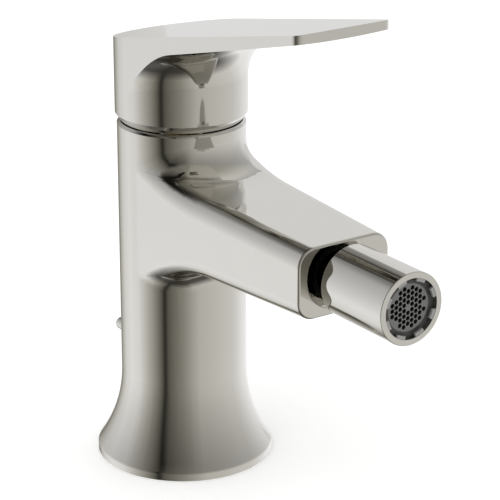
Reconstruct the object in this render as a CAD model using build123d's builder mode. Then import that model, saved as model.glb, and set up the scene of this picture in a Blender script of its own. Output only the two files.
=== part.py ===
from build123d import *
import os
from math import acos, asin, atan, cos, degrees, hypot, radians, sin, sqrt, tan

# Single-lever bidet mixer. Millimetres, +Z up. The origin is the centre of the foot's underside,
# the column stands on Z, and the lever, the spout and the nozzle point to -Y.

# Clearances
running = 0.05          # radial, pin in its bore
seated = 0.05           # piece seated in a pocket of the same body
free = 0.3              # moving piece beside its neighbour
over = 1.0              # how far a cutting tool reaches beyond the surface it opens

# Height and widths of the column, which is built round a 35 mm cartridge
body_top_z = 118.2
housing_r = 17.5
chamber_r = housing_r + 0.15
nut_ledge = 0.65        # step up from the chamber to the nut's bore
nut_bore_r = chamber_r + nut_ledge
column_wall = 3.1
column_r = nut_bore_r + column_wall
bevel_w = 0.9           # bevel round the column's top, radial
bevel_h = 0.9

# Levels inside the column, from the top down
nut_sink = 12.2         # how far the nut's seat lies below the column's top
nut_z = body_top_z - nut_sink
housing_h = 21.7
base_z = nut_z - housing_h
base_t = 5.3
chamber_z = base_z - base_t
channel_w = 1.55        # mixed water runs round the cartridge's base in this channel
channel_h = 13.0
floor_t = 15.0
hose_space_z = chamber_z - floor_t

# Foot
foot_wall = 3.8
hose_space_r = column_r - foot_wall
foot_spread = 8.6       # how far the foot stands out from the column
base_r = column_r + foot_spread
flange_h = 2.6
flange_round = 1.0
flare_top_z = 30.0
seal_w = 3.0
seal_h = 2.4
seal_margin = 3.0
seal_outer_r = base_r - seal_margin

# Spout, level, with its sizes taken from the nozzle's axis
axis_rise = 11.0        # the axis lies this far above the chamber's floor
nozzle_z = chamber_z + axis_rise
face_y = -89.5
face_half_w = 17.0
face_up = 11.6
face_down = 11.4
spout_up = 13.1         # where the spout's top starts to sweep up
spout_up_y = -37.0
spout_down = 13.0       # where its underside starts to sweep down
spout_down_y = -42.0
sweep_top_r = 80.0
sweep_low_r = 60.0
shoulder_r = 6.0
spout_inset = 0.3       # the spout's sides meet the column this far inside its tangent
spout_root_r = 10.0     # fillet where the spout grows out of the column
face_edge = 0.8
waterway_r = 7.0

# Inlets and fixing, on the ceiling of the foot's hollow
hose_x = 7.5
hose_thread_r = 4.5     # M10 x 1
hose_thread_len = 12.0
stud_y = -12.0
stud_hole_r = 3.4       # M8
stud_hole_len = 12.0
port_r = 3.0
port_drop = 9.0         # how far the inlet ports reach below the chamber's floor
outlet_r = 3.2

# Cartridge: base, discs and carrier
housing_wall = 3.5
housing_bore_r = housing_r - housing_wall
cap_lip = 4.4           # how far the housing's end reaches inwards
cap_hole_r = housing_bore_r - cap_lip
cap_t = 2.2
disc_r = housing_bore_r - 1.0
port_x = 7 / 13 * disc_r    # the ports keep their places on discs of another size
port_y = -4.5 / 13 * disc_r
outlet_y = disc_r / 2
disc_t = 2.5
disc_sink = 2.0
disc_z = base_z - disc_sink
moving_z = disc_z + disc_t
moving_margin = 0.6     # the moving disc is this much smaller than its carrier
mixing_r = 6 / 13 * disc_r
mixing_y = 1.5 / 13 * disc_r
mixing_depth = 1.5
carrier_h = 4.7
carrier_z = moving_z + disc_t
seal_ring_w = 1.9
seal_ring_h = 1.55
o_ring_rise = 15.2
o_ring_z = base_z + o_ring_rise
o_ring_t = 0.88
o_ring_depth = 1.7

# Spindle guide, pivot and spindle
lift_deg = 20.0
guide_z = carrier_z + carrier_h + free
guide_flange_t = 3.2
guide_r = cap_hole_r - 0.2
guide_top_z = nut_z - 0.4
pivot_rise = 5.2
pivot_z = guide_z + pivot_rise
pivot_r = 1.6
pivot_inset = 0.4       # the pivot pin ends this far inside the guide
spindle_w = 7 / 13 * disc_r
heel = 2.7              # how far the spindle's square part reaches below the pivot
stem_step = 1.5
stem_r = spindle_w / 2 - stem_step
tip_r = 2.6
tip_z = carrier_z + tip_r + 2 * running
disc_travel = (pivot_z - tip_z) * sin(radians(lift_deg))
carrier_play = 0.835    # left between the carrier and the housing at full lift
carrier_r = housing_bore_r - disc_travel - carrier_play

# Rings and nut above the cartridge
limit_ring_bore = guide_r + 0.6
limit_ring_w = 2.2
limit_ring_r = limit_ring_bore + limit_ring_w
limit_ring_h = 2.6
limit_notches = 12
limit_notch_w = 1.0
limit_notch_depth = 1.2
nut_h = 6.5
nut_top_z = nut_z + nut_h
nut_bore = limit_ring_r + 0.4
nut_notches = 4
nut_notch_w = 3.0
nut_notch_len = 5.0
nut_notch_depth = 1.5
cover_rise = 0.4
cover_top_z = body_top_z + cover_rise
cover_bore = 12.0
cover_wall = 3.8
cover_t = 1.6

# Handle
handle_overhang = 0.6
handle_r = column_r + handle_overhang
handle_gap = 0.5
handle_z = body_top_z + handle_gap
rim_chamfer_w = 1.6
rim_chamfer_h = 2.4
rim_r = handle_r - rim_chamfer_w
rim_land = 0.25
skirt_r = rim_r - rim_land
cavity_h = 18.3
cavity_top_z = handle_z + cavity_h
hub_wall = 3.5
hub_r = spindle_w / 2 + hub_wall
hub_h = 13.5
hub_z = cavity_top_z - hub_h
socket_depth = 7.5      # how far the spindle reaches into the hub
spindle_top_z = hub_z + socket_depth
lever_rise = 29.8       # height of the slanted top above the drum's rim, on the axis
lever_top_z = handle_z + lever_rise
lever_slant = 11.8      # degrees
lever_end_y = -88.0
lever_half_w = 17.3
lever_edge_t = 2.8      # side thickness at the lever's end
lever_mid_t = 3.3
edge_growth = 0.042     # side thickness gained for each millimetre towards the drum
mid_growth = 0.066
lever_root_r = 15.0     # fillet between the lever's underside and the drum
lever_corner = 2.5
grub_drop = 8.5
grub_z = cavity_top_z - grub_drop
grub_r = 2.5            # M5
grub_boss_r = 4.0
grub_hex_r = 1.25       # half the width across flats
grub_hex_depth = 3.0
plug_r = 3.4
plug_depth = 2.5
plug_inset = 0.4
grub_inset = 6.0        # from the plug's seat to the screw's end
grub_len = handle_r - plug_depth - grub_inset - spindle_w / 2

# Nozzle, from its rear rim to its mouth
nozzle_gap = 3.6        # between the spout's face and the nozzle
nozzle_back_y = face_y - nozzle_gap
ball_setback = 6.4
ball_y = nozzle_back_y - ball_setback
seat_len = 7.0
web_y = ball_y - seat_len
web_t = 1.2
web_hole_r = 6.0
sleeve_spare = 1.6      # thread left between the web and the aerator's seal
aerator_seal_t = 1.6
aerator_back_y = web_y - web_t - sleeve_spare - aerator_seal_t
aerator_len = 11.0
rim_y = aerator_back_y - aerator_len
aerator_recess = 0.1
nozzle_end_y = rim_y - aerator_recess
nozzle_r = 11.4
sleeve_wall = 1.9
mouth_r = nozzle_r - sleeve_wall
seat_ledge = 0.3
seat_bore_r = mouth_r - seat_ledge
sleeve_edge = 0.25

# Ball joint
cup_wall = 1.25
ball_play = 0.15
cup_r = seat_bore_r - cup_wall
ball_r = cup_r - ball_play
cup_gap = 0.2           # from the ball's middle to the edge of either half of its cup
retainer_inset = 0.3
neck_r = 5.2
stud_thread_r = 8.2
stud_thread_len = 10.0
stud_in_y = face_y + stud_thread_len
collar_r = 9.3
collar_t = 1.4
stud_bore_r = 3.2
stud_hex_r = 3.5        # half the width across flats
stud_hex_depth = 4.0
stud_groove_w = 1.5
stud_groove_depth = 1.3
stud_ring_t = 0.6
ball_ring_y = 3.5       # the ring's plane, ahead of the ball's centre
ball_ring_t = 0.75
retainer_opening_r = neck_r + 2.0
seat_opening_r = 4.6

# Aerator
teeth_count = 8
tooth_deg = 20.0
tooth_w = 1.1
tooth_h = 1.45
grid_y = rim_y + tooth_h
insert_wall = 2.05
insert_r = mouth_r - insert_wall
insert_rim = 0.35
cell_pitch = 1.69
cell_web = 0.29
cell_flat = cell_pitch - cell_web
cell_depth = 3.0
regulator_gap = 1.5     # behind the honeycomb
regulator_t = 2.4
regulator_holes = 6
regulator_hole_r = 0.8
strainer_t = 1.0
strainer_pitch = 1.6
strainer_hole_r = 0.45

# Pull pin for the waste, behind the column
pin_r = 2.15
pin_reach = 20.8
pin_end_y = column_r + pin_reach
pin_z = 31.6
rod_inset = 4.8
rod_y = hose_space_r - rod_inset
rod_r = 2.25
rod_low_z = 2.0
rod_stub_r = 1.7        # turned-down end of the rod, in the shoe
rod_shoulder = 0.4      # gap between the rod's shoulder and the shoe
pull_travel = 25.0
slot_play = 0.35
pin_round = 1.0
pin_stub_r = 1.2
shoe_w = 9.0
shoe_wall = 1.2
shoe_h = 10.0

os.makedirs("parts", exist_ok=True)

spout_axis = Axis((0, 0, nozzle_z), (0, 1, 0))
spout_plane = Plane(origin=(0, 0, nozzle_z), x_dir=(0, 1, 0), z_dir=(1, 0, 0))


def turn(points, plane=Plane.XZ, axis=Axis.Z, mode=Mode.ADD):
    """Revolve the closed outline through the points about an axis of its plane."""
    with BuildSketch(plane) as outline:
        with BuildLine():
            Polyline(*points, close=True)
        make_face()
    revolve(outline.sketch, axis=axis, mode=mode)


def turn_y(points, mode=Mode.ADD):
    """Revolve an outline of (y, radius) points about the nozzle's axis."""
    turn(points, spout_plane, spout_axis, mode)


def tube(outer_r, inner_r, z0, z1, at=(0, 0)):
    """Add an upright ring or, without an inner radius, a disc."""
    with BuildSketch(Plane.XY.offset(z0)) as ring:
        with Locations(at):
            Circle(outer_r)
            if inner_r:
                Circle(inner_r, mode=Mode.SUBTRACT)
    extrude(ring.sketch, amount=z1 - z0)


def bore(radius, z0, z1, at=(0, 0)):
    """Cut an upright round hole between two levels."""
    with BuildSketch(Plane.XY.offset(z0)) as hole:
        with Locations(at):
            Circle(radius)
    extrude(hole.sketch, amount=z1 - z0, mode=Mode.SUBTRACT)


def block(x0, x1, y0, y1, z0, z1, mode=Mode.ADD):
    """Add or cut a box given by its limits."""
    with Locations(((x0 + x1) / 2, (y0 + y1) / 2, (z0 + z1) / 2)):
        Box(x1 - x0, y1 - y0, z1 - z0, mode=mode)


def front_plane(y, z=0.0):
    """Plane across the spout that faces -Y, with its own x along X and y along Z."""
    return Plane(origin=(0, y, z), x_dir=(1, 0, 0), z_dir=(0, -1, 0))


def wedge(root_x, root_y, end_half_w, end_y, corner=0.0):
    """Outline in plan of the spout or lever, from the axis to its end, with rounded end corners."""
    with BuildSketch() as outline:
        with BuildLine():
            Polyline(
                (0, 0),
                (root_x, root_y),
                (end_half_w, end_y),
                (-end_half_w, end_y),
                (-root_x, root_y),
                close=True,
            )
        make_face()
        if corner:
            fillet(outline.vertices().sort_by(Axis.Y)[:2], corner)
    add(outline.sketch)


def same_circle(edge, radius):
    """Whether an edge is a circle of this radius."""
    return edge.geom_type == GeomType.CIRCLE and abs(edge.radius - radius) < 0.001


def crease(part, radius):
    """Edges where a limb grows forward out of an upright cylinder round the origin."""
    return [
        edge
        for edge in part.edges()
        if abs(hypot((edge @ 0.5).X, (edge @ 0.5).Y) - radius) < 0.01
        and edge.geom_type != GeomType.CIRCLE
        and (edge.geom_type != GeomType.LINE or (edge @ 0.5).Y < -over / 2)
    ]


def tangent_point(radius, half_w, y):
    """Where a line from (half_w, y) touches the circle round the origin."""
    turn_angle = atan(half_w / -y) + acos(radius / hypot(half_w, y))
    return radius * sin(turn_angle), -radius * cos(turn_angle)


# Spout: a tapering plan cut to a side outline whose top and underside sweep into the column
root_x, root_y = tangent_point(column_r - spout_inset, face_half_w, face_y)
spout_taper = (root_x - face_half_w) / (root_y - face_y)
axis_half_w = face_half_w - spout_taper * face_y


def sweep_turn(start, slope, radius):
    """Angle of the arc that leads the side outline from its start to the column's axis."""
    return degrees(asin(sin(slope) - start / radius) - slope)


with BuildPart() as spout:
    with BuildSketch():
        wedge(axis_half_w, 0, face_half_w, face_y)
    extrude(amount=body_top_z)
    with BuildSketch(Plane.YZ):
        with BuildLine():
            top_slope = atan((spout_up - face_up) / (spout_up_y - face_y))
            top_turn = sweep_turn(spout_up_y, top_slope, sweep_top_r)
            top_line = Line((face_y, nozzle_z + face_up), (spout_up_y, nozzle_z + spout_up))
            top_sweep = JernArc(top_line @ 1, top_line % 1, sweep_top_r, top_turn)
            low_slope = atan((spout_down - face_down) / (spout_down_y - face_y))
            low_turn = sweep_turn(spout_down_y, low_slope, sweep_low_r)
            low_line = Line((face_y, nozzle_z - face_down), (spout_down_y, nozzle_z - spout_down))
            low_sweep = JernArc(low_line @ 1, low_line % 1, sweep_low_r, -low_turn)
            Line(top_sweep @ 1, low_sweep @ 1)
            Line(top_line @ 0, low_line @ 0)
        make_face()
    extrude(amount=column_r + over, both=True, mode=Mode.INTERSECT)
    side_edges = [
        edge
        for edge in spout.edges()
        if abs((edge @ 0.5).X) > face_half_w / 2
        and abs((edge % 0.5).Y) > 0.5
    ]
    fillet(side_edges, shoulder_r)
    face_rim = spout.faces().sort_by(Axis.Y)[0].edges()
    fillet(face_rim, face_edge)

# Column, foot and spout: one casting
flare_drop = flare_top_z - flange_h
flare_r = (foot_spread**2 + flare_drop**2) / (2 * foot_spread)
flare_turn = 2 * degrees(atan(foot_spread / flare_drop))
with BuildPart() as mixer_body:
    with BuildSketch(Plane.XZ):
        with BuildLine():
            flare = JernArc((column_r, flare_top_z), (0, -1), flare_r, flare_turn)
            Polyline(
                flare @ 1,
                (base_r, 0),
                (0, 0),
                (0, body_top_z),
                (column_r - bevel_w, body_top_z),
                (column_r, body_top_z - bevel_h),
                flare @ 0,
            )
        make_face()
    revolve(axis=Axis.Z)
    flange_rims = mixer_body.edges().filter_by(lambda edge: same_circle(edge, base_r))
    fillet(flange_rims.sort_by(Axis.Z)[-1], flange_round)
    add(spout.part)
    fillet(crease(mixer_body, column_r), spout_root_r)

    # Hollow foot, seal groove, inlets and fixing hole
    bore(hose_space_r, 0, hose_space_z)
    with BuildSketch():
        Circle(seal_outer_r)
        Circle(seal_outer_r - seal_w, mode=Mode.SUBTRACT)
    extrude(amount=seal_h, mode=Mode.SUBTRACT)
    for side in (-1, 1):
        bore(hose_thread_r, hose_space_z, hose_space_z + hose_thread_len, (side * hose_x, 0))
        bore(port_r, chamber_z - port_drop, chamber_z, (side * port_x, port_y))
    bore(stud_hole_r, hose_space_z, hose_space_z + stud_hole_len, (0, stud_y))

    # Cartridge chamber, ring channel and the bore for the nut
    bore(chamber_r, chamber_z, nut_z)
    bore(chamber_r + channel_w, chamber_z, chamber_z + channel_h)
    bore(nut_bore_r, nut_z, body_top_z)

    # Waterway of the spout and the seat of the ball stud
    turn_y(
        [
            (-chamber_r, 0),
            (-chamber_r, waterway_r),
            (stud_in_y, waterway_r),
            (stud_in_y, stud_thread_r),
            (face_y + collar_t, stud_thread_r),
            (face_y + collar_t, collar_r),
            (face_y - over, collar_r),
            (face_y - over, 0),
        ],
        Mode.SUBTRACT,
    )

    # Slot for the pull pin
    slot_w = 2 * (pin_r + slot_play)
    with BuildSketch(Plane.XZ.offset(-hose_space_r / 2)):
        with Locations((0, pin_z + pull_travel / 2)):
            SlotCenterToCenter(pull_travel, slot_w, rotation=90)
    extrude(amount=-base_r, mode=Mode.SUBTRACT)
mixer_body.part.label = "mixer_body"
export_step(mixer_body.part, "parts/mixer_body.step")

with BuildPart() as base_seal:
    tube(seal_outer_r - seated, seal_outer_r - seal_w + seated, 0, seal_h)
base_seal.part.label = "base_seal"
export_step(base_seal.part, "parts/base_seal.step")

# Handle: drum, slanted top and tapering lever in one piece
slant = tan(radians(lever_slant))
side_x, side_y = tangent_point(handle_r, lever_half_w, lever_end_y)
top_plane = Plane(origin=(0, 0, lever_top_z), x_dir=(1, 0, 0), z_dir=(0, slant, 1))


def lever_levels(y):
    """Levels of the lever's top, of its sides' lower edge and of its middle underneath."""
    run = y - lever_end_y
    top = lever_top_z - y * slant
    return top, top - lever_edge_t - edge_growth * run, top - lever_mid_t - mid_growth * run


# Flat lever with a slightly crowned underside, filleted into the drum and cut to its plan
with BuildPart() as lever:
    reach = handle_r + 2 * lever_root_r
    blank_top_z = lever_top_z + 2 * handle_r
    taper = (side_x - lever_half_w) / (side_y - lever_end_y)
    for station in (lever_end_y - over, reach):
        top, edge_low, mid_low = lever_levels(station)
        half_w = lever_half_w + taper * (station - lever_end_y)
        crown_r = (half_w**2 + (edge_low - mid_low) ** 2) / (2 * (edge_low - mid_low))
        wing_low = mid_low + crown_r - sqrt(crown_r**2 - reach**2)
        with BuildSketch(front_plane(station)):
            with BuildLine():
                low_arc = ThreePointArc((reach, wing_low), (0, mid_low), (-reach, wing_low))
                Polyline(low_arc @ 1, (-reach, blank_top_z), (reach, blank_top_z), low_arc @ 0)
            make_face()
    loft(ruled=True)
    tube(handle_r, 0, handle_z, blank_top_z)
    fillet(crease(lever, handle_r), lever_root_r)
    with BuildSketch(Plane.XY.offset(handle_z + 2 * rim_chamfer_h)) as plan:
        wedge(side_x, side_y, lever_half_w, lever_end_y, lever_corner)
    extrude(plan.sketch, amount=blank_top_z, mode=Mode.INTERSECT)

with BuildPart() as handle:
    turn(
        [
            (0, handle_z),
            (rim_r, handle_z),
            (handle_r, handle_z + rim_chamfer_h),
            (handle_r, lever_top_z + handle_r),
            (0, lever_top_z + handle_r),
        ]
    )
    add(lever.part)
    split(bisect_by=top_plane, keep=Keep.BOTTOM)

    # Hollow drum with the hub for the spindle and the boss for its screw
    with BuildSketch(Plane.XY.offset(handle_z)):
        Circle(skirt_r)
    extrude(amount=cavity_top_z - handle_z, mode=Mode.SUBTRACT)
    tube(hub_r, 0, hub_z, cavity_top_z)
    with BuildSketch(Plane.XZ.offset(-hub_r / 2)):
        with Locations((0, grub_z)):
            Circle(grub_boss_r)
    extrude(amount=-(skirt_r - hub_r / 2 + over / 2))
    socket = spindle_w / 2 + seated
    block(-socket, socket, -socket, socket, hub_z, spindle_top_z + free, Mode.SUBTRACT)
    with BuildSketch(Plane.XZ):
        with Locations((0, grub_z)):
            Circle(grub_r)
    extrude(amount=-handle_r - over, mode=Mode.SUBTRACT)
    with BuildSketch(Plane.XZ.offset(-(handle_r - plug_depth))):
        with Locations((0, grub_z)):
            Circle(plug_r)
    extrude(amount=-plug_depth - over, mode=Mode.SUBTRACT)
handle.part.label = "handle"
export_step(handle.part, "parts/handle.step")

with BuildPart() as grub_screw:
    with BuildSketch(Plane.XZ.offset(-spindle_w / 2)):
        with Locations((0, grub_z)):
            Circle(grub_r - seated)
    extrude(amount=-grub_len)
    with BuildSketch(Plane.XZ.offset(-spindle_w / 2 - grub_len + grub_hex_depth)):
        with Locations((0, grub_z)):
            RegularPolygon(grub_hex_r, 6, major_radius=False)
    extrude(amount=-grub_hex_depth, mode=Mode.SUBTRACT)
grub_screw.part.label = "grub_screw"
export_step(grub_screw.part, "parts/grub_screw.step")

with BuildPart() as screw_plug:
    with BuildSketch(Plane.XZ.offset(-(handle_r - plug_depth))):
        with Locations((0, grub_z)):
            Circle(plug_r - seated)
    extrude(amount=-plug_depth + plug_inset)
screw_plug.part.label = "screw_plug"
export_step(screw_plug.part, "parts/screw_plug.step")

# Cartridge, from the chamber's floor up
with BuildPart() as cartridge_base:
    tube(housing_r - seated, 0, chamber_z, base_z)
    bore(disc_r + seated, disc_z, base_z)
    for side in (-1, 1):
        bore(port_r, chamber_z, disc_z, (side * port_x, port_y))
        bore(port_r + seal_ring_w, chamber_z, chamber_z + seal_ring_h, (side * port_x, port_y))
    bore(outlet_r, chamber_z, disc_z, (0, outlet_y))
    channel_z = (chamber_z + disc_z) / 2
    block(-outlet_r, outlet_r, outlet_y, housing_r, chamber_z, channel_z, Mode.SUBTRACT)
cartridge_base.part.label = "cartridge_base"
export_step(cartridge_base.part, "parts/cartridge_base.step")

with BuildPart() as inlet_seals:
    for side in (-1, 1):
        ring_r = port_r + seal_ring_w - seated
        tube(ring_r, port_r, chamber_z, chamber_z + seal_ring_h, (side * port_x, port_y))
inlet_seals.part.label = "inlet_seals"
export_step(inlet_seals.part, "parts/inlet_seals.step")

with BuildPart() as fixed_disc:
    tube(disc_r, 0, disc_z, disc_z + disc_t)
    for side in (-1, 1):
        bore(port_r, disc_z, disc_z + disc_t, (side * port_x, port_y))
    bore(outlet_r, disc_z, disc_z + disc_t, (0, outlet_y))
fixed_disc.part.label = "fixed_disc"
export_step(fixed_disc.part, "parts/fixed_disc.step")

with BuildPart() as moving_disc:
    tube(carrier_r - moving_margin, 0, moving_z, carrier_z)
    bore(mixing_r, moving_z, moving_z + mixing_depth, (0, mixing_y))
moving_disc.part.label = "moving_disc"
export_step(moving_disc.part, "parts/moving_disc.step")

with BuildPart() as disc_carrier:
    tube(carrier_r, 0, carrier_z, carrier_z + carrier_h)
    bore(tip_r + 2 * running, carrier_z, carrier_z + carrier_h)
disc_carrier.part.label = "disc_carrier"
export_step(disc_carrier.part, "parts/disc_carrier.step")

with BuildPart() as cartridge_housing:
    tube(housing_r, housing_bore_r, base_z, nut_z)
    tube(housing_r, cap_hole_r, nut_z - cap_t, nut_z)
    with BuildSketch(Plane.XY.offset(o_ring_z - o_ring_t - seated)):
        Circle(housing_r + over)
        Circle(housing_r - o_ring_depth, mode=Mode.SUBTRACT)
    extrude(amount=2 * (o_ring_t + seated), mode=Mode.SUBTRACT)
cartridge_housing.part.label = "cartridge_housing"
export_step(cartridge_housing.part, "parts/cartridge_housing.step")

with BuildPart() as cartridge_o_ring:
    with BuildSketch(Plane.XZ):
        with Locations((chamber_r - o_ring_t - seated / 2, o_ring_z)):
            Circle(o_ring_t)
    revolve(axis=Axis.Z)
cartridge_o_ring.part.label = "cartridge_o_ring"
export_step(cartridge_o_ring.part, "parts/cartridge_o_ring.step")

# Spindle guide: turns with the handle and carries the spindle's pivot
guide_step_z = guide_z + guide_flange_t
half_w = spindle_w / 2
lift = radians(lift_deg)
slot_x = half_w + 2 * running
slot_rear = (guide_top_z - pivot_z) * tan(lift) + half_w / cos(lift) + free
slot_front = hypot(half_w, heel) + free
slot_low_z = pivot_z - half_w * sin(lift) - heel * cos(lift) - free
with BuildPart() as spindle_guide:
    tube(housing_bore_r - free, 0, guide_z, guide_step_z)
    tube(guide_r, 0, guide_step_z, guide_top_z)
    block(-slot_x, slot_x, -slot_front, slot_rear, slot_low_z, guide_top_z, Mode.SUBTRACT)
    tip_w = tip_r + free
    block(-slot_x, slot_x, -disc_travel - tip_w, tip_w, guide_z, pivot_z, Mode.SUBTRACT)
    with BuildSketch(Plane.YZ):
        with Locations((0, pivot_z)):
            Circle(pivot_r + seated / 2)
    extrude(amount=guide_r + over, both=True, mode=Mode.SUBTRACT)
spindle_guide.part.label = "spindle_guide"
export_step(spindle_guide.part, "parts/spindle_guide.step")

with BuildPart() as pivot_pin:
    with BuildSketch(Plane.YZ):
        with Locations((0, pivot_z)):
            Circle(pivot_r)
    extrude(amount=guide_r - pivot_inset, both=True)
pivot_pin.part.label = "pivot_pin"
export_step(pivot_pin.part, "parts/pivot_pin.step")

# Spindle: square bar on the pivot, with a ball tip that shifts the disc carrier
with BuildPart() as spindle:
    block(-half_w, half_w, -half_w, half_w, pivot_z - heel, spindle_top_z)
    tube(stem_r, 0, tip_z, pivot_z)
    with Locations((0, 0, tip_z)):
        Sphere(tip_r)
    with BuildSketch(Plane.YZ):
        with Locations((0, pivot_z)):
            Circle(pivot_r + running)
    extrude(amount=half_w, both=True, mode=Mode.SUBTRACT)
spindle.part.label = "spindle"
export_step(spindle.part, "parts/spindle.step")

with BuildPart() as limit_ring:
    tube(limit_ring_r, limit_ring_bore, nut_z, nut_z + limit_ring_h)
    with Locations((0, 0, nut_z)):
        with PolarLocations(limit_ring_r, limit_notches):
            Box(2 * limit_notch_depth, limit_notch_w, 4 * limit_ring_h, mode=Mode.SUBTRACT)
limit_ring.part.label = "limit_ring"
export_step(limit_ring.part, "parts/limit_ring.step")

with BuildPart() as retaining_nut:
    tube(nut_bore_r - seated, nut_bore, nut_z, nut_top_z)
    with Locations((0, 0, nut_top_z)):
        with PolarLocations(nut_bore_r, nut_notches):
            Box(2 * nut_notch_len, nut_notch_w, 2 * nut_notch_depth, mode=Mode.SUBTRACT)
retaining_nut.part.label = "retaining_nut"
export_step(retaining_nut.part, "parts/retaining_nut.step")

with BuildPart() as cover_ring:
    turn(
        [
            (nut_bore_r - cover_wall, nut_top_z),
            (nut_bore_r - seated, nut_top_z),
            (nut_bore_r - seated, body_top_z),
            (cover_bore, cover_top_z),
            (cover_bore, cover_top_z - cover_t),
            (nut_bore_r - cover_wall, body_top_z - cover_t),
        ]
    )
cover_ring.part.label = "cover_ring"
export_step(cover_ring.part, "parts/cover_ring.step")

# Ball stud in the spout's face
with BuildPart() as ball_stud:
    turn_y(
        [
            (stud_in_y - free, 0),
            (stud_in_y - free, stud_thread_r - seated),
            (face_y + collar_t + stud_groove_w, stud_thread_r - seated),
            (face_y + collar_t + stud_groove_w, stud_thread_r - stud_groove_depth),
            (face_y + collar_t, stud_thread_r - stud_groove_depth),
            (face_y + collar_t, collar_r - seated),
            (face_y + seated, collar_r - seated),
            (face_y + seated, neck_r),
            (ball_y, neck_r),
            (ball_y, 0),
        ]
    )
    with Locations((0, ball_y, nozzle_z)):
        Sphere(ball_r)
    ball_ring_axis_r = sqrt((ball_r + ball_play - seated - ball_ring_t) ** 2 - ball_ring_y ** 2)
    with BuildSketch(spout_plane):
        with Locations((ball_y - ball_ring_y, ball_ring_axis_r)):
            Circle(ball_ring_t + running)
    revolve(axis=spout_axis, mode=Mode.SUBTRACT)
    with BuildSketch(front_plane(stud_in_y, nozzle_z)):
        Circle(stud_bore_r)
    extrude(amount=stud_in_y - ball_y + ball_r + over, mode=Mode.SUBTRACT)
    with BuildSketch(front_plane(ball_y - ball_r + stud_hex_depth, nozzle_z)):
        RegularPolygon(stud_hex_r, 6, major_radius=False)
    extrude(amount=stud_hex_depth + over, mode=Mode.SUBTRACT)
ball_stud.part.label = "ball_stud"
export_step(ball_stud.part, "parts/ball_stud.step")

with BuildPart() as stud_o_ring:
    with BuildSketch(spout_plane):
        ring_y = face_y + collar_t + stud_groove_w / 2
        with Locations((ring_y, stud_thread_r - seated - stud_ring_t)):
            Circle(stud_ring_t)
    revolve(axis=spout_axis)
stud_o_ring.part.label = "stud_o_ring"
export_step(stud_o_ring.part, "parts/stud_o_ring.step")

with BuildPart() as ball_o_ring:
    with BuildSketch(spout_plane):
        with Locations((ball_y - ball_ring_y, ball_ring_axis_r)):
            Circle(ball_ring_t)
    revolve(axis=spout_axis)
ball_o_ring.part.label = "ball_o_ring"
export_step(ball_o_ring.part, "parts/ball_o_ring.step")

# Nozzle: sleeve, ball seat and retainer, which ride on the ball
with BuildPart() as nozzle_sleeve:
    turn_y(
        [
            (nozzle_back_y, seat_bore_r),
            (nozzle_back_y, nozzle_r),
            (nozzle_end_y, nozzle_r),
            (nozzle_end_y, mouth_r),
            (web_y - web_t, mouth_r),
            (web_y - web_t, web_hole_r),
            (web_y, web_hole_r),
            (web_y, seat_bore_r),
        ]
    )
    fillet(nozzle_sleeve.edges().filter_by(lambda edge: same_circle(edge, nozzle_r)), sleeve_edge)
nozzle_sleeve.part.label = "nozzle_sleeve"
export_step(nozzle_sleeve.part, "parts/nozzle_sleeve.step")

with BuildPart() as ball_seat:
    turn_y(
        [
            (ball_y - cup_gap, 0),
            (ball_y - cup_gap, seat_bore_r - seated),
            (web_y, seat_bore_r - seated),
            (web_y, 0),
        ]
    )
    with Locations((0, ball_y, nozzle_z)):
        Sphere(cup_r, mode=Mode.SUBTRACT)
    with BuildSketch(front_plane(ball_y, nozzle_z)):
        Circle(seat_opening_r)
    extrude(amount=ball_r + over, mode=Mode.SUBTRACT)
ball_seat.part.label = "ball_seat"
export_step(ball_seat.part, "parts/ball_seat.step")

with BuildPart() as ball_retainer:
    turn_y(
        [
            (nozzle_back_y - retainer_inset, 0),
            (nozzle_back_y - retainer_inset, seat_bore_r - seated),
            (ball_y + cup_gap, seat_bore_r - seated),
            (ball_y + cup_gap, 0),
        ]
    )
    with Locations((0, ball_y, nozzle_z)):
        Sphere(cup_r, mode=Mode.SUBTRACT)
    with BuildSketch(front_plane(nozzle_back_y, nozzle_z)):
        Circle(retainer_opening_r)
    extrude(amount=nozzle_back_y - ball_y, mode=Mode.SUBTRACT)
ball_retainer.part.label = "ball_retainer"
export_step(ball_retainer.part, "parts/ball_retainer.step")

# Aerator: screwed cartridge with a notched rim and a honeycomb
with BuildPart() as aerator_housing:
    turn_y(
        [
            (grid_y, insert_r + seated),
            (grid_y, mouth_r - seated),
            (aerator_back_y, mouth_r - seated),
            (aerator_back_y, insert_r + seated),
        ]
    )
    with BuildSketch(front_plane(grid_y, nozzle_z)):
        tooth_x = (mouth_r + over) * cos(radians(tooth_deg / 2))
        tooth_y = (mouth_r + over) * sin(radians(tooth_deg / 2))
        with PolarLocations(0, teeth_count, start_angle=180 / teeth_count):
            Polygon((0, 0), (tooth_x, -tooth_y), (tooth_x, tooth_y), align=None)
        Circle(mouth_r - seated, mode=Mode.INTERSECT)
        Circle(mouth_r - tooth_w, mode=Mode.SUBTRACT)
    extrude(amount=tooth_h)
aerator_housing.part.label = "aerator_housing"
export_step(aerator_housing.part, "parts/aerator_housing.step")

# Honeycomb cells, with the middle one and three near the rim left solid
column_pitch = cell_pitch * sqrt(3) / 2
solid_cells = [(0, 0), (4, 0), (-3, 2.5), (-3, -2.5)]
open_cells = []
for column in range(-5, 6):
    shift = 0.5 if column % 2 else 0.0
    for row in range(-5, 6):
        if (column, row + shift) in solid_cells:
            continue
        place = (column * column_pitch, (row + shift) * cell_pitch)
        if hypot(*place) < insert_r - insert_rim - cell_flat / 2:
            open_cells.append(place)

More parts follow.
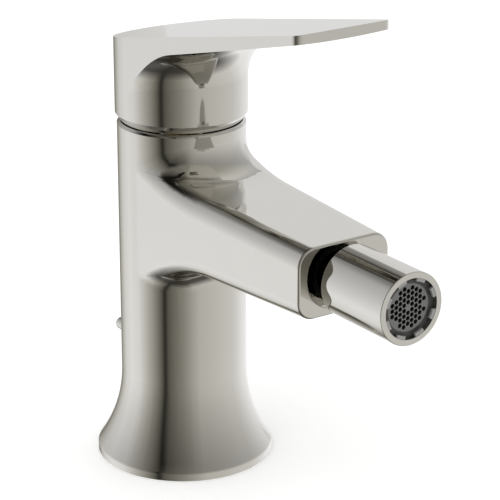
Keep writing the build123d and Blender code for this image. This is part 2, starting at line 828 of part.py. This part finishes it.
with BuildPart() as aerator_grid:
    with BuildSketch(front_plane(grid_y + cell_depth, nozzle_z)):
        Circle(insert_r)
    extrude(amount=cell_depth)
    with BuildSketch(front_plane(grid_y + cell_depth + over, nozzle_z)):
        with Locations(*open_cells):
            RegularPolygon(cell_flat / 2, 6, major_radius=False, rotation=30)
    extrude(amount=cell_depth + 2 * over, mode=Mode.SUBTRACT)
aerator_grid.part.label = "aerator_grid"
export_step(aerator_grid.part, "parts/aerator_grid.step")

with BuildPart() as flow_regulator:
    regulator_back_y = grid_y + cell_depth + regulator_gap + regulator_t
    with BuildSketch(front_plane(regulator_back_y, nozzle_z)):
        Circle(insert_r)
        with PolarLocations(insert_r / 2, regulator_holes):
            Circle(regulator_hole_r, mode=Mode.SUBTRACT)
    extrude(amount=regulator_t)
flow_regulator.part.label = "flow_regulator"
export_step(flow_regulator.part, "parts/flow_regulator.step")

with BuildPart() as strainer:
    with BuildSketch(front_plane(aerator_back_y, nozzle_z)):
        Circle(insert_r)
        with GridLocations(strainer_pitch, strainer_pitch, 7, 7):
            Circle(strainer_hole_r, mode=Mode.SUBTRACT)
    extrude(amount=strainer_t)
strainer.part.label = "strainer"
export_step(strainer.part, "parts/strainer.step")

with BuildPart() as aerator_seal:
    turn_y(
        [
            (aerator_back_y, insert_r),
            (aerator_back_y, mouth_r - seated),
            (aerator_back_y + aerator_seal_t, mouth_r - seated),
            (aerator_back_y + aerator_seal_t, insert_r),
        ]
    )
aerator_seal.part.label = "aerator_seal"
export_step(aerator_seal.part, "parts/aerator_seal.step")

# Pull pin, the shoe that slides inside the column's rear wall, and the rod to the waste
shoe_back_r = hose_space_r - free
shoe_front_y = rod_y - rod_r - shoe_wall
shoe_low_z = pin_z - shoe_h / 2
with BuildPart() as pull_shoe:
    with BuildSketch(Plane.XY.offset(shoe_low_z)):
        Circle(shoe_back_r)
        with Locations((0, shoe_front_y + shoe_back_r / 2)):
            Rectangle(shoe_w, shoe_back_r, mode=Mode.INTERSECT)
    extrude(amount=shoe_h)
    bore(rod_stub_r + seated, shoe_low_z, pin_z - pin_r, (0, rod_y))
    with BuildSketch(Plane.XZ.offset(-rod_y)):
        with Locations((0, pin_z)):
            Circle(pin_stub_r + seated)
    extrude(amount=-shoe_back_r, mode=Mode.SUBTRACT)
pull_shoe.part.label = "pull_shoe"
export_step(pull_shoe.part, "parts/pull_shoe.step")

with BuildPart() as pull_rod:
    tube(rod_r, 0, rod_low_z, shoe_low_z - rod_shoulder, (0, rod_y))
    tube(rod_stub_r, 0, rod_low_z, pin_z - pin_r - seated, (0, rod_y))
pull_rod.part.label = "pull_rod"
export_step(pull_rod.part, "parts/pull_rod.step")

with BuildPart() as pull_pin:
    with BuildSketch(Plane.XZ.offset(-shoe_back_r)):
        with Locations((0, pin_z)):
            Circle(pin_r)
    extrude(amount=shoe_back_r - pin_end_y)
    fillet(pull_pin.faces().sort_by(Axis.Y)[-1].edges(), pin_round)
    with BuildSketch(Plane.XZ.offset(-rod_y)):
        with Locations((0, pin_z)):
            Circle(pin_stub_r)
    extrude(amount=rod_y - shoe_back_r)
pull_pin.part.label = "pull_pin"
export_step(pull_pin.part, "parts/pull_pin.step")
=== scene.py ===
from math import cos, radians, sin

import bpy
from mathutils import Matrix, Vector


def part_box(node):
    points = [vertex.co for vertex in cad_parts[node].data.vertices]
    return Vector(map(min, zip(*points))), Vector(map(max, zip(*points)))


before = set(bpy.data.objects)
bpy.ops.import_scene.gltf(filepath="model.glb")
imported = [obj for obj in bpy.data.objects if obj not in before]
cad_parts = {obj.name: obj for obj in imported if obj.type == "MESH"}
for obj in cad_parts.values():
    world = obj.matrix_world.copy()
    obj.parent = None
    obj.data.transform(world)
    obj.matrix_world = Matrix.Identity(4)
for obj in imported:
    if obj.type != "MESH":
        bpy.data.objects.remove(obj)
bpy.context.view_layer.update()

bpy.ops.object.select_all(action="DESELECT")
scene = bpy.context.scene
scene.view_settings.view_transform = "Standard"

# Camera: where the photograph was taken from. It stands to the left of the spout and looks
# down on the mixer through a long lens.
camera_turn = radians(34.69)
camera_rise = radians(20.07)
camera_target = Vector((0.019122, -0.011399, 0.071093))
camera_distance = 0.73153
to_camera = Vector(
    (
        -sin(camera_turn) * cos(camera_rise),
        -cos(camera_turn) * cos(camera_rise),
        sin(camera_rise),
    )
)
camera_data = bpy.data.cameras.new("camera")
camera_data.lens = 155.97
camera_data.shift_x = 0.002
camera = bpy.data.objects.new("camera", camera_data)
camera.location = camera_target + camera_distance * to_camera
camera.rotation_euler = to_camera.to_track_quat("Z", "Y").to_euler()
scene.collection.objects.link(camera)
scene.camera = camera

# Floor: a wide sheet of matt white card, which takes the soft shadow of the mixer. The metal
# doesn't mirror the card, but the studio round it.


def linear(hex_code):
    """Linear colour of an sRGB hex value, with full alpha."""
    channels = [int(hex_code[i:i + 2], 16) / 255 for i in (0, 2, 4)]
    return [c / 12.92 if c <= 0.04045 else ((c + 0.055) / 1.055) ** 2.4 for c in channels] + [1.0]


def add(tree, kind, sockets=None, **settings):
    """Add a node to a tree. Each named socket takes a value or another node's output."""
    made = tree.nodes.new(kind)
    for name, value in settings.items():
        setattr(made, name, value)
    for name, value in (sockets or {}).items():
        if isinstance(value, bpy.types.NodeSocket):
            tree.links.new(value, made.inputs[name])
        else:
            made.inputs[name].default_value = value
    return made


def new_material(name):
    """Make an empty material and return it with its node tree and object coordinates."""
    material = bpy.data.materials.new(name)
    material.use_nodes = True
    material.node_tree.nodes.clear()
    place = add(material.node_tree, "ShaderNodeTexCoord").outputs["Object"]
    return material, material.node_tree, place


bpy.ops.mesh.primitive_plane_add(size=12.0)
floor = bpy.context.object
floor.name = "floor"
floor.visible_glossy = False
card, tree, place = new_material("white_card")
fibres = add(tree, "ShaderNodeTexNoise", {"Vector": place, "Scale": 900.0})
tint = add(
    tree,
    "ShaderNodeMix",
    {"Factor": fibres.outputs["Fac"], "A": linear("fdfdfc"), "B": linear("fffffe")},
    data_type="RGBA",
)
matt = add(tree, "ShaderNodeBsdfDiffuse", {"Color": tint.outputs["Result"]})
# The background stays white to the camera, and the shadow on it shows
seen = add(tree, "ShaderNodeLightPath").outputs["Is Camera Ray"]
lift = add(tree, "ShaderNodeMath", {0: seen, 1: 0.12}, operation="MULTIPLY")
white = {"Color": linear("ffffff"), "Strength": lift.outputs["Value"]}
haze = add(tree, "ShaderNodeEmission", white)
both = add(tree, "ShaderNodeAddShader", {0: matt.outputs["BSDF"], 1: haze.outputs["Emission"]})
add(tree, "ShaderNodeOutputMaterial", {"Surface": both.outputs["Shader"]})
floor.data.materials.append(card)

# Tent: a round wall of cloth under a darker ceiling, which only gloss sees. The wall is bright on
# the left, dims to a dark gap before the camera and pales again to the right. The ceiling is
# darkest on the left, and its crown is open to the dark room.
tent_radius = 5.0
bpy.ops.mesh.primitive_uv_sphere_add(segments=64, ring_count=32, radius=tent_radius)
tent = bpy.context.object
tent.name = "tent"
cloth, tree, place = new_material("tent_cloth")
turned = add(
    tree,
    "ShaderNodeMapping",
    {"Vector": place, "Rotation": (0, 0, radians(90) + camera_turn)},
)
split = add(tree, "ShaderNodeSeparateXYZ", {"Vector": turned.outputs["Vector"]})
# Bearing from the camera's side of the tent, rising to the right, as 0 to 1 for -180 to 180
bearing = add(
    tree,
    "ShaderNodeMath",
    {0: split.outputs["Y"], 1: split.outputs["X"]},
    operation="ARCTAN2",
)
share = add(
    tree,
    "ShaderNodeMapRange",
    {"Value": bearing.outputs["Value"], "From Min": -radians(180), "From Max": radians(180)},
)


def lit_ring(levels):
    """Ramp of cloth round the tent from (bearing, level) pairs. Dim cloth looks warmer."""
    ring = add(tree, "ShaderNodeValToRGB", {"Fac": share.outputs["Result"]})
    stops = ring.color_ramp.elements
    for angle, level in levels:
        stop = stops.new((angle + 180) / 360)
        shade = 1 - level
        stop.color = (level * (1 + 0.05 * shade), level, level * (1 - 0.17 * shade), 1.0)
    stops.remove(stops[0])
    stops.remove(stops[-1])
    return ring.outputs["Color"]


def by_height(low, high, to_min, to_max, kind="LINEAR"):
    """Number that changes with height between two elevations in degrees."""
    sockets = {
        "Value": split.outputs["Z"],
        "From Min": tent_radius * sin(radians(low)),
        "From Max": tent_radius * sin(radians(high)),
        "To Min": to_min,
        "To Max": to_max,
    }
    return add(tree, "ShaderNodeMapRange", sockets, interpolation_type=kind).outputs["Result"]


wall = lit_ring(
    [
        (-179.9, 1.0),
        (-172, 0.6),
        (-160, 0.22),
        (-148, 0.52),
        (-130, 0.9),
        (-110, 1.06),
        (-88, 0.98),
        (-66, 0.58),
        (-46, 0.25),
        (-39, 0.13),
        (-34, 0.035),
        (-31, 0.05),
        (-26, 0.13),
        (0, 0.31),
        (30, 0.62),
        (65, 0.72),
        (100, 0.82),
        (135, 1.08),
        (160, 1.08),
        (179.9, 1.0),
    ]
)
ceiling = lit_ring(
    [
        (-179.9, 0.55),
        (-150, 0.1),
        (-120, 0.01),
        (-92, 0.01),
        (-46, 0.17),
        (30, 0.3),
        (90, 0.43),
        (150, 0.72),
        (179.9, 0.7),
    ]
)
# The wall dims upwards and gives way to the ceiling. Under the mixer the table is dark.
faded = add(
    tree,
    "ShaderNodeVectorMath",
    {0: wall, "Scale": by_height(-22, 36, 1.0, 0.52)},
    operation="SCALE",
)
upper = add(
    tree,
    "ShaderNodeMix",
    {"Factor": by_height(34, 52, 0, 1, "SMOOTHSTEP"), "A": faded.outputs["Vector"], "B": ceiling},
    data_type="RGBA",
)
covered = add(
    tree,
    "ShaderNodeMix",
    {"Factor": by_height(68, 73, 0, 1), "A": upper.outputs["Result"], "B": linear("1d1b17")},
    data_type="RGBA",
)
inside = add(
    tree,
    "ShaderNodeMix",
    {
        "Factor": by_height(-62, -40, 0.92, 0),
        "A": covered.outputs["Result"],
        "B": linear("3d3b37"),
    },
    data_type="RGBA",
)
glow = add(tree, "ShaderNodeEmission", {"Color": inside.outputs["Result"]})
add(tree, "ShaderNodeOutputMaterial", {"Surface": glow.outputs["Emission"]})
tent.data.materials.append(cloth)

# Panel: a sheet of lit silk behind the mixer on the right, which the flat top of the lever and
# the spout's back mirror. Only gloss sees it, as with the tent.
panel_bearing = radians(164.0) - camera_turn
panel_distance = 3.0
panel_w = 2.1
panel_foot = -0.46
panel_head = 2.2
bpy.ops.mesh.primitive_plane_add(size=1.0)
panel = bpy.context.object
panel.name = "panel"
panel.scale = (panel_w, panel_head - panel_foot, 1.0)
panel.rotation_euler = (radians(90), 0, panel_bearing)
panel.location = (
    panel_distance * sin(panel_bearing),
    -panel_distance * cos(panel_bearing),
    (panel_foot + panel_head) / 2,
)
silk, tree, place = new_material("lit_silk")
height = add(tree, "ShaderNodeSeparateXYZ", {"Vector": place}).outputs["Y"]
level = add(
    tree,
    "ShaderNodeMapRange",
    {"Value": height, "From Min": -0.3, "From Max": 0.02, "To Min": 0.8, "To Max": 0.88},
)
glow = add(
    tree,
    "ShaderNodeEmission",
    {"Color": linear("ffffff"), "Strength": level.outputs["Result"]},
)
add(tree, "ShaderNodeOutputMaterial", {"Surface": glow.outputs["Emission"]})
panel.data.materials.append(silk)
for mirrored in (tent, panel):
    mirrored.visible_camera = False
    mirrored.visible_diffuse = False
    mirrored.visible_shadow = False
    mirrored.visible_transmission = False

# Room light: even daylight from all round, and one wide soft lamp from the upper left that gives
# the shadow its direction. The metal doesn't mirror the lamp.
world = bpy.data.worlds.new("room")
scene.world = world
world.use_nodes = True
daylight = world.node_tree.nodes["Background"].inputs
daylight["Color"].default_value = linear("ffffff")
daylight["Strength"].default_value = 1.0
lamp_data = bpy.data.lights.new("soft_lamp", "AREA")
lamp_data.shape = "SQUARE"
lamp_data.size = 1.6
lamp_data.energy = 9.0
lamp = bpy.data.objects.new("soft_lamp", lamp_data)
lamp.location = (-1.3, -0.9, 1.9)
lamp.rotation_euler = Vector(lamp.location).to_track_quat("Z", "Y").to_euler()
lamp.visible_glossy = False
scene.collection.objects.link(lamp)

# Body: column, foot and spout, one brass casting, ground and polished, then nickel plated. A warm
# grey mirror whose polish is a little uneven, with the plating's faint ripple. As everywhere
# below, a noise of scale 1000 / n has lumps about n mm wide.


def surface(tree, tint, gloss, relief=None, more=None):
    """Close a material with the main shader. Tint is a factor and two hex colours, gloss a factor
    and two roughnesses, relief a height and its depth in mm, and more sets sockets by name."""
    factor, low, high = tint
    colour = add(
        tree,
        "ShaderNodeMix",
        {"Factor": factor, "A": linear(low), "B": linear(high)},
        data_type="RGBA",
    )
    factor, smooth, dull = gloss
    sheen = add(tree, "ShaderNodeMapRange", {"Value": factor, "To Min": smooth, "To Max": dull})
    sockets = {"Base Color": colour.outputs["Result"], "Roughness": sheen.outputs["Result"]}
    if relief:
        height, depth_mm = relief
        bump = {"Height": height, "Strength": 1.0, "Distance": depth_mm / 1000}
        sockets["Normal"] = add(tree, "ShaderNodeBump", bump).outputs["Normal"]
    shader = add(tree, "ShaderNodeBsdfPrincipled", {**sockets, **(more or {})})
    add(tree, "ShaderNodeOutputMaterial", {"Surface": shader.outputs["BSDF"]})


def dress(material, *nodes):
    """Give CAD nodes a material in all their slots."""
    for name in nodes:
        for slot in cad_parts[name].material_slots:
            slot.material = material


nickel, tree, place = new_material("polished_nickel")
clouds = {"Vector": place, "Scale": 1000 / 18, "Detail": 3.0}
clouds = add(tree, "ShaderNodeTexNoise", clouds).outputs["Fac"]
ripple = add(tree, "ShaderNodeTexNoise", {"Vector": place, "Scale": 1000 / 2.5}).outputs["Fac"]
surface(
    tree,
    tint=(clouds, "d3d1cc", "d6d4cf"),
    gloss=(clouds, 0.045, 0.07),
    relief=(ripple, 0.0004),
    more={"Metallic": 1.0},
)
dress(nickel, "mixer_body")

# Seals: rings of moulded EPDM rubber, pressed into their grooves in the foot and round the inlets,
# the cartridge, the ball and the aerator. Black, matt, with the fine grain of their mould.
rubber, tree, place = new_material("epdm_rubber")
patches = add(tree, "ShaderNodeTexNoise", {"Vector": place, "Scale": 1000 / 6}).outputs["Fac"]
grain = {"Vector": place, "Scale": 1000 / 0.4, "Detail": 4.0}
grain = add(tree, "ShaderNodeTexNoise", grain).outputs["Fac"]
surface(
    tree,
    tint=(patches, "191919", "222221"),
    gloss=(grain, 0.55, 0.72),
    relief=(grain, 0.01),
)
dress(rubber, "base_seal", "inlet_seals", "cartridge_o_ring", "stud_o_ring", "ball_o_ring")
dress(rubber, "aerator_seal")

# Cartridge: base, housing, disc carrier and spindle guide, moulded in natural acetal and clipped
# together. Milky white, with a satin skin and faint flow marks.
acetal, tree, place = new_material("natural_acetal")
drawn = add(tree, "ShaderNodeMapping", {"Vector": place, "Scale": (1, 1, 1 / 3)})
flow = {"Vector": drawn.outputs["Vector"], "Scale": 1000 / 5, "Detail": 4.0}
flow = add(tree, "ShaderNodeTexNoise", flow).outputs["Fac"]
skin = add(tree, "ShaderNodeTexNoise", {"Vector": place, "Scale": 1000 / 0.25}).outputs["Fac"]
surface(
    tree,
    tint=(flow, "e3e1da", "efede7"),
    gloss=(skin, 0.34, 0.46),
    relief=(skin, 0.003),
    more={"Subsurface Weight": 0.1, "Subsurface Radius": (0.002, 0.0018, 0.0015)},
)
dress(acetal, "cartridge_base", "cartridge_housing", "disc_carrier", "spindle_guide")

# Discs: sintered alumina, lapped flat so that they seal on each other. Ivory white with a dull
# gloss and fine speckle.
ceramic, tree, place = new_material("lapped_alumina")
speckle = {"Vector": place, "Scale": 1000 / 0.3, "Detail": 5.0}
speckle = add(tree, "ShaderNodeTexNoise", speckle).outputs["Fac"]
surface(tree, tint=(speckle, "e9e5da", "f4f1e9"), gloss=(speckle, 0.2, 0.32))
dress(ceramic, "fixed_disc", "moving_disc")

# Spindle, retaining nut and pull rod: brass bar, turned and left bare. Yellow metal with fine
# turning lines round it and a little tarnish.
brass, tree, place = new_material("turned_brass")
drawn = add(tree, "ShaderNodeMapping", {"Vector": place, "Scale": (1 / 60, 1 / 60, 1)})
lines = {"Vector": drawn.outputs["Vector"], "Scale": 1000 / 0.15}
lines = add(tree, "ShaderNodeTexNoise", lines).outputs["Fac"]
tarnish = {"Vector": place, "Scale": 1000 / 7, "Detail": 5.0}
tarnish = add(tree, "ShaderNodeTexNoise", tarnish).outputs["Fac"]
surface(
    tree,
    tint=(tarnish, "cfae6c", "b8934f"),
    gloss=(lines, 0.2, 0.36),
    relief=(lines, 0.004),
    more={"Metallic": 1.0},
)
dress(brass, "spindle", "retaining_nut", "pull_rod")

# Pivot pin, grub screw and strainer: stainless steel, drawn or rolled, and pressed or screwed in.
# Cool grey, with drawing lines.
steel, tree, place = new_material("drawn_stainless")
drawn = add(tree, "ShaderNodeMapping", {"Vector": place, "Scale": (1 / 40, 1, 1)})
lines = {"Vector": drawn.outputs["Vector"], "Scale": 1000 / 0.2}
lines = add(tree, "ShaderNodeTexNoise", lines).outputs["Fac"]
surface(
    tree,
    tint=(lines, "b9babb", "cccdce"),
    gloss=(lines, 0.22, 0.36),
    relief=(lines, 0.003),
    more={"Metallic": 1.0},
)
dress(steel, "pivot_pin", "grub_screw", "strainer")

# Hot limit ring: acetal coloured red right through, moulded with notches that hold it at its
# setting. Satin, with the fine grain of its mould.
red_acetal, tree, place = new_material("red_acetal")
patches = add(tree, "ShaderNodeTexNoise", {"Vector": place, "Scale": 1000 / 4}).outputs["Fac"]
skin = add(tree, "ShaderNodeTexNoise", {"Vector": place, "Scale": 1000 / 0.25}).outputs["Fac"]
surface(
    tree,
    tint=(patches, "b3201c", "c22a22"),
    gloss=(skin, 0.32, 0.44),
    relief=(skin, 0.003),
)
dress(red_acetal, "limit_ring")

# Cover ring over the nut: brass, spun, polished and plated with the body. It drops on loosely and
# hides the nut when the lever is up.
dress(nickel, "cover_ring")

# Handle: drum and flat lever, cast in one piece and plated with the body. Its grub screw sits at
# the back under a small plug, moulded in grey polythene with a soft gloss.
dress(nickel, "handle")
plug, tree, place = new_material("grey_polythene")
patches = add(tree, "ShaderNodeTexNoise", {"Vector": place, "Scale": 1000 / 3}).outputs["Fac"]
skin = add(tree, "ShaderNodeTexNoise", {"Vector": place, "Scale": 1000 / 0.3}).outputs["Fac"]
surface(
    tree,
    tint=(patches, "8d8c88", "979691"),
    gloss=(skin, 0.4, 0.55),
    relief=(skin, 0.004),
)
dress(plug, "screw_plug")

# Ball stud: turned brass, screwed into the spout. It is coloured near black as painted shade, so
# that its neck and collar make the dark crescent of shade and dark reflection behind the nozzle.
stud_painted_shade, tree, place = new_material("stud_painted_shade")
drawn = add(tree, "ShaderNodeMapping", {"Vector": place, "Scale": (1 / 50, 1, 1 / 50)})
lines = {"Vector": drawn.outputs["Vector"], "Scale": 1000 / 0.2}
lines = add(tree, "ShaderNodeTexNoise", lines).outputs["Fac"]
# Near-black tint: painted shade of the gap behind the nozzle.
surface(
    tree,
    tint=(lines, "121110", "1b1a18"),
    gloss=(lines, 0.18, 0.28),
    relief=(lines, 0.002),
    more={"Metallic": 1.0},
)
dress(stud_painted_shade, "ball_stud")

# Nozzle: turned brass sleeve, polished and plated with the body. It swivels and tilts on the
# ball.
dress(nickel, "nozzle_sleeve")

# Aerator: a moulded housing in grey acetal, whose notched rim takes a key. Its colour darkens with
# depth behind the tips of the teeth, as painted shade in the gaps between them.
housing, tree, place = new_material("grey_acetal_painted_gap_shade")
skin = {"Vector": place, "Scale": 1000 / 0.3, "Detail": 3.0}
skin = add(tree, "ShaderNodeTexNoise", skin).outputs["Fac"]
tooth_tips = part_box("aerator_housing")[0][1]
depth = add(tree, "ShaderNodeSeparateXYZ", {"Vector": place}).outputs["Y"]
# Painted shade: pale just behind the tooth tips, dark about a millimetre deeper in the gaps.
shade_by_depth = {"Value": depth, "From Min": tooth_tips + 0.0003, "From Max": tooth_tips + 0.0012}
painted_shade = add(tree, "ShaderNodeMapRange", shade_by_depth).outputs["Result"]
surface(
    tree,
    tint=(painted_shade, "8a8a88", "383837"),
    gloss=(skin, 0.35, 0.5),
    relief=(skin, 0.004),
)
dress(housing, "aerator_housing")

# Honeycomb, flow regulator and the two halves of the ball's cup: mouldings in grey acetal. From
# the front edges of the honeycomb's cells the colour darkens with depth, as painted shade down the
# cells, and the parts deeper in take the darkest shade.
comb, tree, place = new_material("grey_acetal_painted_cell_shade")
skin = {"Vector": place, "Scale": 1000 / 0.3, "Detail": 3.0}
skin = add(tree, "ShaderNodeTexNoise", skin).outputs["Fac"]
cell_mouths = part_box("aerator_grid")[0][1]
depth = add(tree, "ShaderNodeSeparateXYZ", {"Vector": place}).outputs["Y"]
# Painted shade: pale at the cell mouths, dark from 0.4 mm deeper.
shade_by_depth = {"Value": depth, "From Min": cell_mouths + 0.00005, "From Max": cell_mouths + 0.0004}
painted_shade = add(tree, "ShaderNodeMapRange", shade_by_depth).outputs["Result"]
surface(
    tree,
    tint=(painted_shade, "686867", "222221"),
    gloss=(skin, 0.32, 0.48),
    relief=(skin, 0.004),
)
dress(comb, "aerator_grid", "flow_regulator", "ball_seat", "ball_retainer")

# Pull pin for the waste: bent brass wire, plated with the body, which comes out behind the column.
# An acetal shoe guides it in its slot.
dress(nickel, "pull_pin")
dress(acetal, "pull_shoe")
